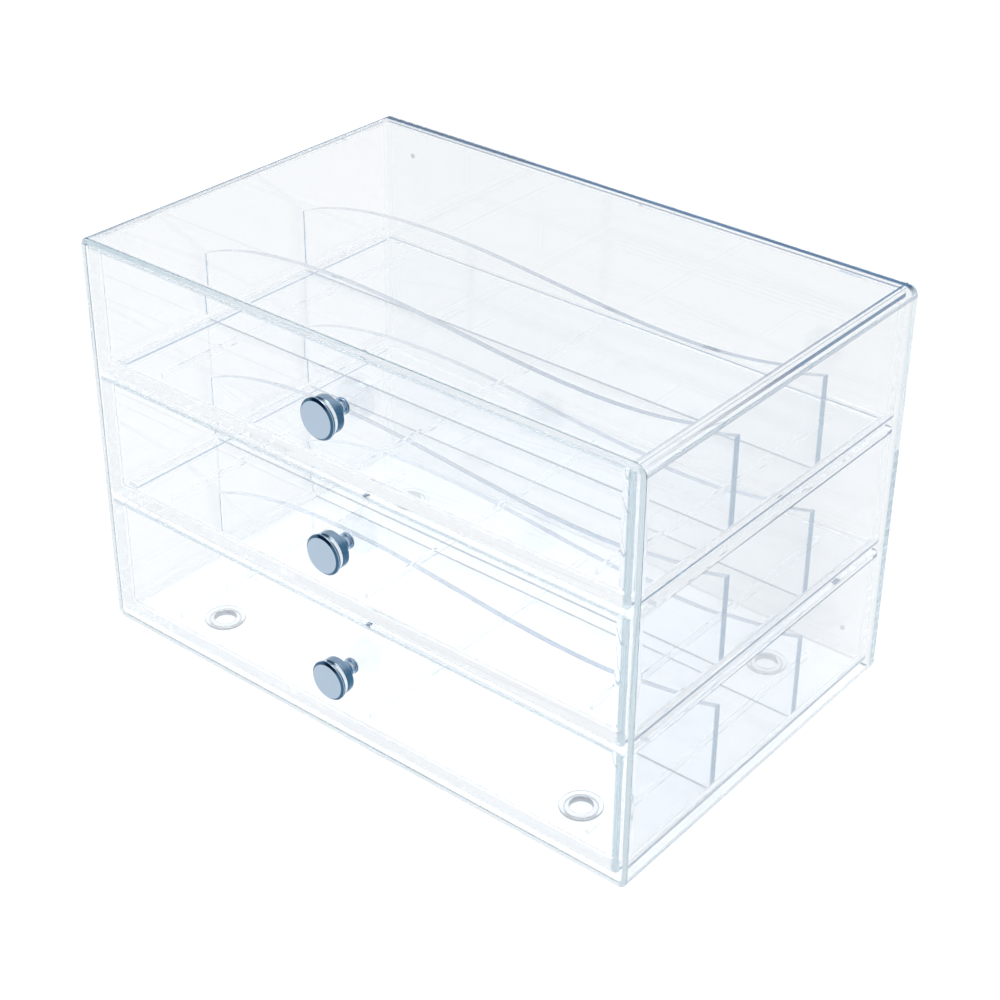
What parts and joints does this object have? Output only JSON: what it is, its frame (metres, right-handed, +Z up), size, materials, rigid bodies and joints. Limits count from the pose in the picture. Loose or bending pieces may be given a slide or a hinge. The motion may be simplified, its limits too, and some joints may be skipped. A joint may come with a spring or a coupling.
{
  "type": "stackable drawer organizer",
  "caption": "Clear box on ring feet with full-width sliding drawers one above another, each split by wave-topped dividers and pulled by a round chrome knob; units stack.",
  "frame": {"origin": "centre of the object's box, on the surface it stands on; the knobs count in the box", "axes": "+Z up, -Y to the front where the drawers open, +X to the right as seen from the front"},
  "size_m": [0.25, 0.1712, 0.1662],
  "materials": {
    "casing": "clear polished moulding",
    "runner": "clear polished moulding",
    "drawer": "clear polished moulding",
    "divider": "clear polished moulding",
    "foot": "clear polished moulding",
    "knob": "bright plated",
    "screw": "bright plated"
  },
  "bodies": {
    "cabinet": {"casing": "casing", "foot_front_left": "foot", "foot_front_right": "foot", "foot_rear_left": "foot", "foot_rear_right": "foot", "middle_runner_left": "runner", "middle_runner_right": "runner", "upper_runner_left": "runner", "upper_runner_right": "runner"},
    "drawer_lower": {"lower_drawer": "drawer", "lower_front_divider": "divider", "lower_knob": "knob", "lower_knob_screw": "screw", "lower_rear_divider": "divider"},
    "drawer_middle": {"middle_drawer": "drawer", "middle_front_divider": "divider", "middle_knob": "knob", "middle_knob_screw": "screw", "middle_rear_divider": "divider"},
    "drawer_upper": {"upper_drawer": "drawer", "upper_front_divider": "divider", "upper_knob": "knob", "upper_knob_screw": "screw", "upper_rear_divider": "divider"}
  },
  "joints": [
    {"name": "lower_drawer_slide", "type": "slide", "parent": "cabinet", "child": "drawer_lower", "axis": [0, -1, 0], "range_m": [0, 0.12]},
    {"name": "middle_drawer_slide", "type": "slide", "parent": "cabinet", "child": "drawer_middle", "axis": [0, -1, 0], "range_m": [0, 0.12]},
    {"name": "upper_drawer_slide", "type": "slide", "parent": "cabinet", "child": "drawer_upper", "axis": [0, -1, 0], "range_m": [0, 0.12]}
  ]
}
